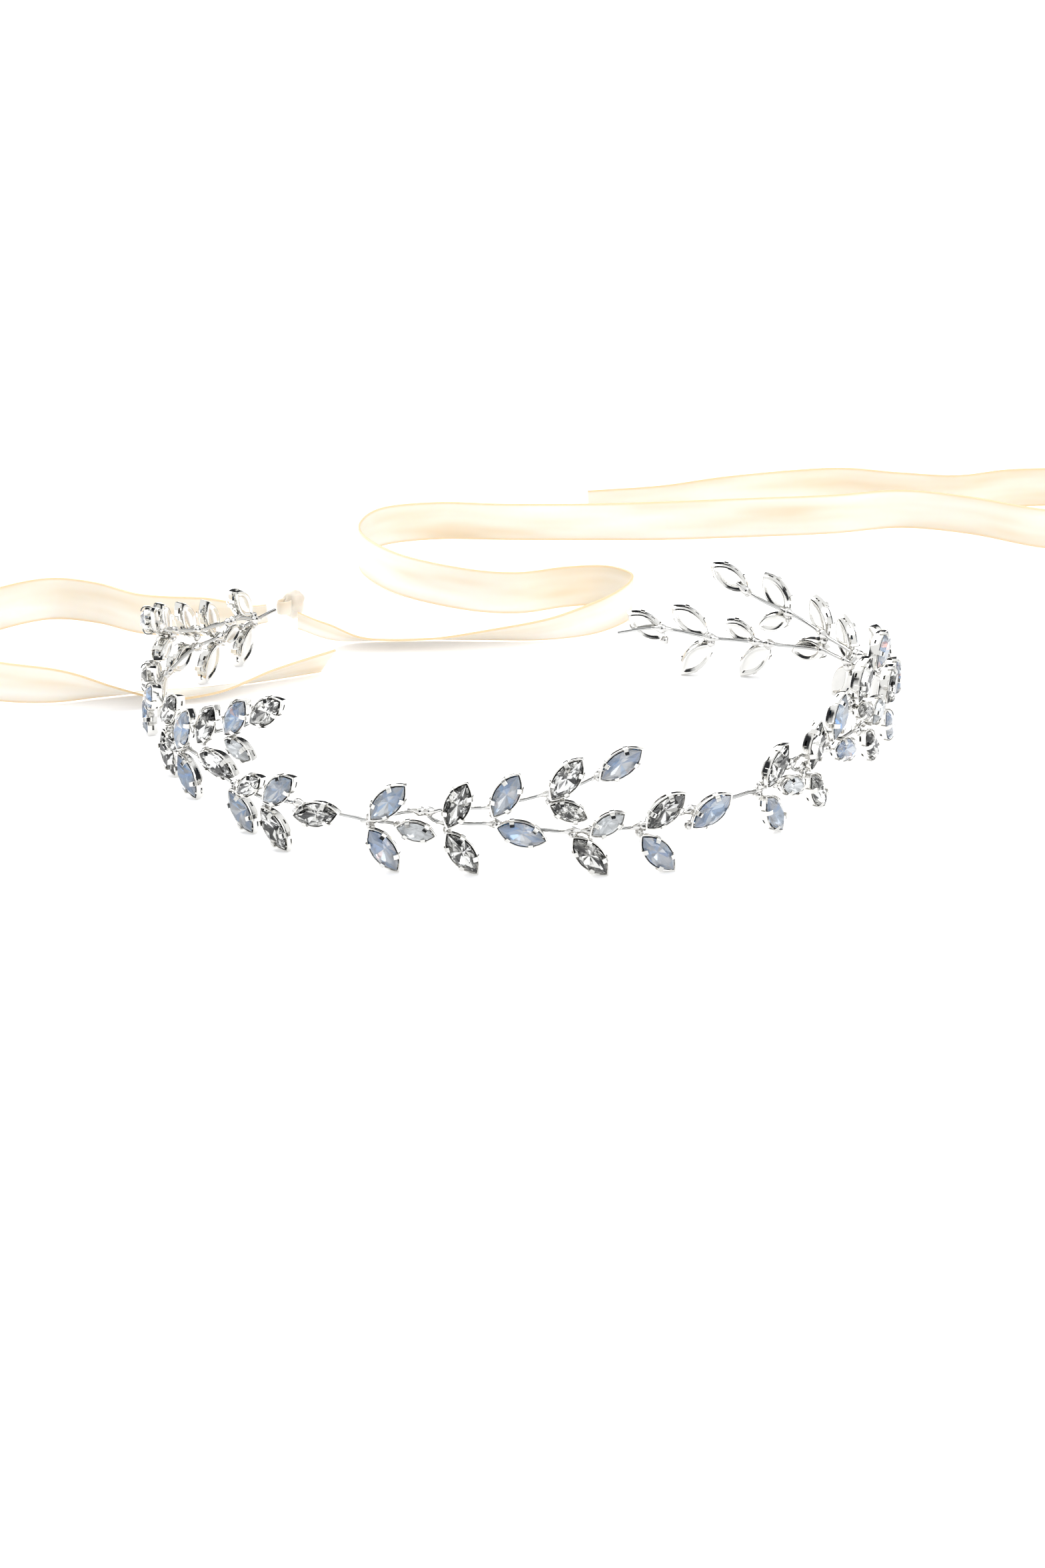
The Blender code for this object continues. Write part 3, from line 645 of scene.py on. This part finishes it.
def add_claw(bm, cup, x, side):
    """One claw: a strip up the cup's side, bent over the crystal's edge."""
    length, width = cup
    rim = half_width(length, width, x)
    ahead, behind = (half_width(length, width, x + step) for step in (SLOPE_STEP, -SLOPE_STEP))
    slope = (ahead - behind) / (2 * SLOPE_STEP)
    run = Vector((1, slope * side, 0)).normalized()
    inward = Vector((slope * side, -1, 0)).normalized() * side
    root = Vector((x, rim * side, 0))
    rings = []
    steps = [Vector((0, inset, height)) for inset, height, _ in CLAW_SECTION]
    for i, (inset, height, thick) in enumerate(CLAW_SECTION):
        after = steps[min(i + 1, len(steps) - 1)]
        before = steps[max(i - 1, 0)]
        travel = (after - before).normalized()
        out = inward * -travel.z + Vector((0, 0, travel.y))
        centre = root + inward * inset + Vector((0, 0, height))
        half = CLAW_WIDTH / 2 * (1 - CLAW_TAPER * i / (len(steps) - 1))
        edge = half - CLAW_CHAMFER
        top = thick / 2
        low = top - CLAW_CHAMFER
        corners = (
            (half, low), (edge, top), (-edge, top), (-half, low), (-half, -low), (-edge, -top), (edge, -top),
            (half, -low),
        )
        rings.append([centre + run * u + out * v for u, v in corners])
    add_loft(bm, rings)


def make_cup_mesh(name, cup, finish):
    """A stamped cup with slots in its sides and four claws."""
    length, width = cup
    body = bmesh.new()
    add_loft(body, [
        [(x, y, z) for x, y in navette(length - 2 * POINT_SHARE * inset, width - 2 * inset, CUP_SIDES)]
        for inset, z in CUP_SECTION
    ])
    made = add_piece(name, body, [finish], sharp=None)
    slots = bmesh.new()
    for place in SLOT_PLACES:
        centre = Vector((place * length, 0, SLOT_HEIGHT)) * MM
        size = Vector((SLOT_SIZE[0], 2 * width, SLOT_SIZE[1])) * MM
        bmesh.ops.create_cube(slots, size=1, matrix=Matrix.Translation(centre) @ Matrix.Diagonal((*size, 1)))
    cutter = add_piece(name + "_slots", slots, [], sharp=None)
    cut = made.modifiers.new("slots", "BOOLEAN")
    cut.object = cutter
    cut.operation = "DIFFERENCE"
    cut.solver = "EXACT"
    graph = bpy.context.evaluated_depsgraph_get()
    mesh = bpy.data.meshes.new_from_object(made.evaluated_get(graph))
    bpy.data.objects.remove(made)
    bpy.data.objects.remove(cutter)
    both = bmesh.new()
    both.from_mesh(mesh)
    claws = bmesh.new()
    for place in CLAW_PLACES:
        for side in (-1, 1):
            add_claw(claws, cup, place * length, side)
    bmesh.ops.recalc_face_normals(claws, faces=claws.faces)
    extra = bpy.data.meshes.new(name + "_claws")
    claws.to_mesh(extra)
    claws.free()
    both.from_mesh(extra)
    both.to_mesh(mesh)
    both.free()
    bpy.data.meshes.remove(extra)
    mesh.name = name
    mesh.shade_smooth()
    mesh.set_sharp_from_angle(angle=math.radians(CUP_SHARP))
    return mesh


def add_facets(bm, girdle, middle, inner, table):
    """Triangles from the girdle to the middle ring and on to the inner ring or point, and a table if asked."""
    half = len(middle)
    made = []
    for j in range(half):
        after = (j + 1) % half
        first, peak, second = girdle[2 * j], girdle[2 * j + 1], girdle[(2 * j + 2) % len(girdle)]
        made.append(bm.faces.new((first, peak, middle[j])))
        made.append(bm.faces.new((peak, second, middle[j])))
        start = inner[after % len(inner)]
        made.append(bm.faces.new((second, middle[after], start)))
        made.append(bm.faces.new((second, start, middle[j])))
        if table:
            made.append(bm.faces.new((middle[j], start, inner[j])))
    if table:
        made.append(bm.faces.new(inner))
    return made


def make_stone(name, leaf, colour, finishes, draw, body):
    """A crystal: faceted crown of glass over a foiled, faceted pavilion. Each facet gets a random tone, which
    picks its tint and its painted reflection from the finish's ramp.
    """
    shrink = 2 * (CUP_WALL + STONE_GAP)
    length = leaf.length - POINT_SHARE * shrink
    width = leaf.width - shrink
    small_opal = leaf.cup is SMALL_CUP and colour == OPAL
    bm = bmesh.new()

    def ring(share, z, first=0, step=1):
        points = navette(length * share, width * share, STONE_HALF)[first::step]
        return [bm.verts.new(Vector((x, y, z)) * MM) for x, y in points]

    girdle = ring(1.0, GIRDLE)
    crown_middle = ring(CROWN_MIDDLE[0], GIRDLE + CROWN_RISE * CROWN_MIDDLE[1], 1, 2)
    table = ring(CROWN_TABLE[0], GIRDLE + CROWN_RISE * CROWN_TABLE[1], 0, 2)
    crown = add_facets(bm, girdle, crown_middle, table, True)
    point = bm.verts.new(Vector((0, 0, STONE_FLOOR)) * MM)
    deep = GIRDLE - STONE_FLOOR
    pavilion_middle = ring(PAVILION_MIDDLE[0], GIRDLE - deep * PAVILION_MIDDLE[1], 1, 2)
    add_facets(bm, girdle, pavilion_middle, [point], False)
    bmesh.ops.recalc_face_normals(bm, faces=bm.faces)
    tops = set(crown)
    facet_reflection_tones = []
    for face in bm.faces:
        face.material_index = 0 if face in tops else 1
        # A random tone picks this facet's tint and painted reflection from the finish's ramp.
        tone = draw.random()
        if small_opal:
            low, high = SMALL_OPAL_TONES
            tone = low + (high - low) * tone
        facet_reflection_tones.append(tone)
    mesh = bpy.data.meshes.new(name)
    bm.to_mesh(mesh)
    bm.free()
    facet = mesh.attributes.new("facet", "FLOAT", "FACE")
    facet.data.foreach_set("value", facet_reflection_tones)
    mesh.materials.append(finishes[colour, "crown"])
    mesh.materials.append(finishes[colour, "foil"])
    return place_mesh(name, mesh, body, leaf.matrix)


# Wires and solder

def make_spindle(bm, centre, before, after, seed):
    """Solder that swells round a wire and thins out along it."""
    travel = (after - before).normalized()
    points = []
    sizes = []
    for k in range(SPINDLE_RINGS):
        share = 2 * k / (SPINDLE_RINGS - 1) - 1
        points.append(centre + travel * share * SPINDLE_HALF)
        sizes.append(WIRE_RADIUS * SPINDLE_FIT + SPINDLE_RISE * math.exp(-(share * SPINDLE_PEAK) ** 2))
    local = bmesh.new()
    add_tube(local, points, sizes)
    lumpy(local, LUMPINESS, seed)
    merge(bm, local)


def make_bead(bm, centre, size, seed):
    """A lump of solder at the base of a cup."""
    local = bmesh.new()
    where = Matrix.Translation(centre * MM)
    bmesh.ops.create_icosphere(local, subdivisions=3, radius=size * MM, matrix=where)
    lumpy(local, 2 * LUMPINESS, seed)
    merge(bm, local)


def merge(bm, other):
    """Moves the other mesh's faces into bm."""
    mesh = bpy.data.meshes.new("merged")
    other.to_mesh(mesh)
    other.free()
    bm.from_mesh(mesh)
    bpy.data.meshes.remove(mesh)


def table_height(table, along):
    """Height of the smooth wire through a table at this distance along the spray."""
    dense = spline_points(table, CURVE_STEPS)
    return min(dense, key=lambda point: abs(point[0] - along))[1]


def stem_table(index):
    """(along, height) of the stem from neck to neck, or to an eye at either end of the crown."""
    start = SPRAYS[index][1]
    last = index == len(SPRAYS) - 1
    begin = LEFT_EYE + EYE_HALF[0] if index == 0 else neck_place(index)
    end = RIGHT_EYE - EYE_HALF[0] if last else neck_place(index + 1)
    return ((begin - start, NECK_HEIGHT), *STEM, (end - start, NECK_HEIGHT))


def make_wires(index, leaves, finishes, body):
    """A spray's stem, branch and link wires, and all its solder."""
    name, start, _, branch_shape, _ = SPRAYS[index]
    branch = [on_branch(branch_shape, along, height) for along, height in BRANCH]
    table = stem_table(index)
    points = wire_points(start, table)
    given_up = round((NECK_BEND + NECK_OVERLAP / 2) / WIRE_STEP)
    if index > 0:
        points = points[given_up:]
    if index < len(SPRAYS) - 1:
        points = points[:-given_up]
    stem = bmesh.new()
    add_tube(stem, points, WIRE_RADIUS)
    stem_piece = add_piece(f"{name}_stem_wire", stem, [finishes["wire"]], body)
    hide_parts(f"{name}_frame")
    for part, route in (("branch", branch), ("link", STUB)):
        tube = bmesh.new()
        add_tube(tube, wire_points(start, route), WIRE_RADIUS)
        add_piece(f"{name}_{part}_wire", tube, [finishes["wire"]], body)
    solder = bmesh.new()
    seed = 10 * index
    branch_solder = [on_branch(branch_shape, along, 0)[0] for along in BRANCH_SOLDER]
    for route, places in ((table, STEM_SOLDER), (branch, branch_solder)):
        for along in places:
            seed += 1
            before, here, after = (
                CURVE.place(start + along + step, table_height(route, along + step))
                for step in (-SPINDLE_STEP, 0, SPINDLE_STEP)
            )
            make_spindle(solder, here, before, after, seed)
    for leaf in leaves.values():
        seed += 1
        make_bead(solder, leaf.at_base(BEAD_INSET, BEAD_OUT), BEAD_RADIUS * leaf.width / LARGE_CUP[1], seed)
    add_piece(f"{name}_solder", solder, [finishes["solder"]], body, sharp=60)


def make_neck(index, finishes):
    """The bare wire between two sprays, across the neck."""
    name = SPRAYS[index][0]
    before = wire_points(SPRAYS[index - 1][1], stem_table(index - 1))
    after = wire_points(SPRAYS[index][1], stem_table(index))
    count = round((NECK_BEND + 2 * NECK_OVERLAP) / WIRE_STEP)
    points = before[-count - 1:-1] + after[:count + 1]
    tube = bmesh.new()
    add_tube(tube, points, WIRE_RADIUS)
    made = add_piece(f"{name}_neck_wire", tube, [finishes["wire"]], None)
    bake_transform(made)


def make_eye(name, middle, finishes, body):
    """The wire end bent into an upright eye."""
    points = []
    for turn in circle_turns(EYE_STEPS):
        along = middle + EYE_HALF[0] * math.cos(turn)
        points.append(CURVE.place(along, NECK_HEIGHT + EYE_HALF[1] * math.sin(turn)))
    bm = bmesh.new()
    add_tube(bm, points, WIRE_RADIUS, closed=True)
    add_piece(name, bm, [finishes["wire"]], body)


# Ribbon

def ribbon_stations(route):
    """(point on the centreline, across, face, share of the full width, distance gone) along a tail."""
    stations = spline_points(route, RIBBON_STEPS)
    gone = 0.0
    made = []
    for i, (x, y, lean, lift) in enumerate(stations):
        before = stations[max(i - 1, 0)]
        after = stations[min(i + 1, len(stations) - 1)]
        if i:
            gone += math.dist((x, y), before[:2])
        share = min(gone / GATHER_LENGTH, 1.0)
        spread = GATHERED + (1 - GATHERED) * share * share * (3 - 2 * share)
        travel = Vector((after[0] - before[0], after[1] - before[1], 0)).normalized()
        side = Vector((travel.y, -travel.x, 0))
        turn = math.radians(lean)
        across = Vector((0, 0, 1)) * math.cos(turn) + side * math.sin(turn)
        face = side * math.cos(turn) - Vector((0, 0, 1)) * math.sin(turn)
        full = abs(across.z) * RIBBON_WIDTH / 2 + abs(face.z) * RIBBON_THICK / 2
        centre = Vector((x - ORIGIN[0], y - ORIGIN[1], full + RIBBON_REST + lift))
        made.append((centre, across, face, spread, gone))
    return made


def make_tail(name, route, finishes, body):
    """One tail of the ribbon, as a thin strip with a woven edge."""
    half = RIBBON_WIDTH / 2
    thin = RIBBON_THICK / 2
    inwards, outwards = RIBBON_SECTION, RIBBON_SECTION[-2::-1]
    outline = [(u, v) for u, v in inwards] + [(-u, v) for u, v in outwards]
    outline += [(-u, -v) for u, v in inwards] + [(u, -v) for u, v in outwards]
    stations = ribbon_stations(route)
    bm = bmesh.new()
    rings = []
    for centre, across, face, spread, _ in stations:
        rings.append([centre + across * u * half * spread + face * v * thin for u, v in outline])
    faces = add_loft(bm, rings)
    layer = bm.loops.layers.uv.new("ribbon")
    count = len(outline)
    for number, made in enumerate(faces):
        ring, k = divmod(number, count)
        corners = ((ring, k), (ring, (k + 1) % count), (ring + 1, (k + 1) % count), (ring + 1, k))
        for loop, (station, corner) in zip(made.loops, corners):
            loop[layer].uv = (stations[station][4] * MM, outline[corner][0] * half * MM)
    tail = add_piece(name, bm, [finishes["satin"]], body, sharp=50)
    return tail


def pleat_depth(there):
    """How far the pleats stand out at a place on a ball of radius 1."""
    return sum(
        math.sin(x * there.x + y * there.y + z * there.z) * depth for (x, y, z), depth in KNOT_PLEATS
    )


def make_knot(finishes, body):
    """The knot in the left eye: a flat link through the eye and a pleated lump beyond it."""
    _, travel, outward = CURVE.frame(0)
    travel = Vector((*travel, 0))
    outward = Vector((*outward, 0))
    up = Vector((0, 0, 1))
    far_side = CURVE.place(LEFT_EYE - EYE_HALF[0], NECK_HEIGHT)
    centre = far_side - travel * KNOT_REACH
    bm = bmesh.new()
    rings = []
    thick, wide = LINK_BAND_HALF
    for turn in circle_turns(LINK_STEPS):
        away = travel * math.cos(turn) + outward * math.sin(turn)
        point = far_side - travel * LINK_SHIFT
        point += travel * math.cos(turn) * LINK_HALF[0] + outward * math.sin(turn) * LINK_HALF[1]
        rings.append([
            point + away * thick * math.cos(t) + up * wide * math.sin(t) for t in circle_turns(LINK_SIDES)
        ])
    add_loft(bm, rings, closed=True)
    lump = bmesh.new()
    axes = Matrix((travel, outward, up)).transposed().to_4x4()
    bmesh.ops.create_icosphere(lump, subdivisions=5, radius=1)
    for vert in lump.verts:
        there = vert.co.copy()
        lump_depth = KNOT_LUMPS[1] * noise.noise(there * KNOT_LUMPS[0])
        grown = there * (1 + pleat_depth(there) + lump_depth)
        shaped = Vector((grown.x * KNOT_HALF[0], grown.y * KNOT_HALF[1], grown.z * KNOT_HALF[2]))
        vert.co = (centre + axes.to_3x3() @ shaped) * MM
    merge(bm, lump)
    layer = bm.loops.layers.uv.new("ribbon")
    for face in bm.faces:
        for loop in face.loops:
            x, y, z = loop.vert.co
            loop[layer].uv = (x + y, (z - NECK_HEIGHT * MM) * KNOT_UV_SHARE)
    made = add_piece("ribbon_knot_wrap", bm, [finishes["satin"]], body, sharp=60)
    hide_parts("ribbon_knot")
    return made


# Stage

def make_camera():
    data = bpy.data.cameras.new("camera")
    data.lens = CAMERA_LENS
    data.sensor_width = SENSOR
    camera = bpy.data.objects.new("camera", data)
    rise = math.radians(CAMERA_RISE)
    back = Vector((0, -math.cos(rise), math.sin(rise)))
    camera.location = (Vector(CAMERA_AIM) + back * CAMERA_DISTANCE) * MM
    camera.rotation_mode = "QUATERNION"
    camera.rotation_quaternion = (-back).to_track_quat("-Z", "Y")
    bpy.context.scene.collection.objects.link(camera)
    bpy.context.scene.camera = camera


def make_floor():
    bm = bmesh.new()
    bmesh.ops.create_grid(bm, x_segments=1, y_segments=1, size=FLOOR_HALF * MM)
    bmesh.ops.translate(bm, verts=bm.verts, vec=(0, 0, -FLOOR_DROP * MM))
    paper, _, _ = add_material("floor_paper", {
        "Base Color": (0.93, 0.93, 0.935, 1), "Roughness": 0.7,
        "Emission Color": (1.0, 0.995, 0.985, 1), "Emission Strength": FLOOR_GLOW,
    })
    floor = add_piece("floor", bm, [paper], sharp=None)


def make_world():
    """A white room with dark gaps low down on four sides, which gives the facets and the wire their contrast.

    The camera sees plain white, and diffuse surfaces are lit evenly.
    """
    world = bpy.data.worlds.new("studio")
    bpy.context.scene.world = world
    world.use_nodes = True
    tree = world.node_tree
    where = add_node(tree, "TexCoord").outputs["Generated"]
    split = add_node(tree, "SeparateXYZ", {"Vector": where})
    product = add_node(
        tree, "Math", {0: split.outputs["X"], 1: split.outputs["Y"]}, operation="MULTIPLY",
    ).outputs[0]
    sideways = add_node(tree, "Math", {0: product}, operation="ABSOLUTE").outputs[0]
    round_about = add_ramp(tree, sideways, ((0.22, grey(0.0)), (0.36, grey(1.0))))
    upwards = add_ramp(tree, split.outputs["Z"], ((0.56, grey(0.0)), (0.66, grey(1.0))))
    open_sky = add_node(
        tree, "Math", {0: round_about, 1: upwards}, operation="MAXIMUM", use_clamp=True,
    ).outputs[0]
    room = add_ramp(tree, open_sky, ((0.0, (0.03, 0.032, 0.036)), (1.0, (0.98, 0.99, 1.0))))
    path = add_node(tree, "LightPath")
    even = (0.72, 0.73, 0.75, 1)
    white = (1, 1, 1, 1)
    lit = add_node(tree, "MixRGB", {"Fac": path.outputs["Is Diffuse Ray"], "Color1": room, "Color2": even})
    colour = add_node(tree, "MixRGB", {
        "Fac": path.outputs["Is Camera Ray"], "Color1": lit.outputs["Color"], "Color2": white,
    })
    shader = tree.nodes["Background"]
    tree.links.new(colour.outputs["Color"], shader.inputs["Color"])
    shader.inputs["Strength"].default_value = ROOM_STRENGTH


def make_lights():
    for name, place, size, energy, colour in LIGHTS:
        data = bpy.data.lights.new(name, "AREA")
        data.size = size
        data.energy = energy
        data.color = colour
        light = bpy.data.objects.new(name, data)
        light.location = place
        light.rotation_mode = "QUATERNION"
        light.rotation_quaternion = (-Vector(place)).to_track_quat("-Z", "Y")
        bpy.context.scene.collection.objects.link(light)


def crystal_groups(name):
    """The crystal nodes of a spray. One spray has two colours in its cluster, so its cluster is two nodes."""
    if name != SPLIT_SPRAY:
        return CRYSTALS
    rest = {piece: group for piece, group in CRYSTALS.items() if piece != "cluster_crystals"}
    return {**SPLIT_CLUSTER, **rest}


def make_spray(index, finishes, cup_meshes, draw):
    name, _, swapped, _, _ = SPRAYS[index]
    body = f"{name}_spray"
    leaves = {each: make_leaf(SPRAYS[index], each) for each in LEAVES}
    make_wires(index, leaves, finishes, body)
    if index:
        make_neck(index, finishes)
    for node, (names, colour) in crystal_groups(name).items():
        kind = SWAPPED[colour] if swapped else colour
        for each in names:
            leaf = leaves[each]
            stone = make_stone(f"{name}_{each}_stone", leaf, kind, finishes, draw, body)
            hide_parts(f"{name}_{node}")
    for each, leaf in leaves.items():
        place_mesh(f"{name}_{each}_cup", cup_meshes[leaf.cup], body, leaf.matrix)


def main():
    bpy.context.scene.view_settings.view_transform = "Standard"
    make_camera()
    make_floor()
    make_world()
    make_lights()
    finishes = make_finishes()
    root = f"{SPRAYS[0][0]}_spray"
    knot = make_knot(finishes, root)
    for name, route in (("ribbon_right_tail", RIGHT_TAIL), ("ribbon_left_tail", LEFT_TAIL)):
        tail = make_tail(name + "_satin", route, finishes, root)
        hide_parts(name)
    make_eye("left_eye", LEFT_EYE, finishes, root)
    make_eye("right_eye", RIGHT_EYE, finishes, f"{SPRAYS[-1][0]}_spray")
    cup_meshes = {
        LARGE_CUP: make_cup_mesh("large_cup", LARGE_CUP, finishes["silver"]),
        SMALL_CUP: make_cup_mesh("small_cup", SMALL_CUP, finishes["silver"]),
    }
    draw = random.Random(TONE_SEED)
    for index in range(len(SPRAYS)):
        make_spray(index, finishes, cup_meshes, draw)


main()
bpy.context.view_layer.update()
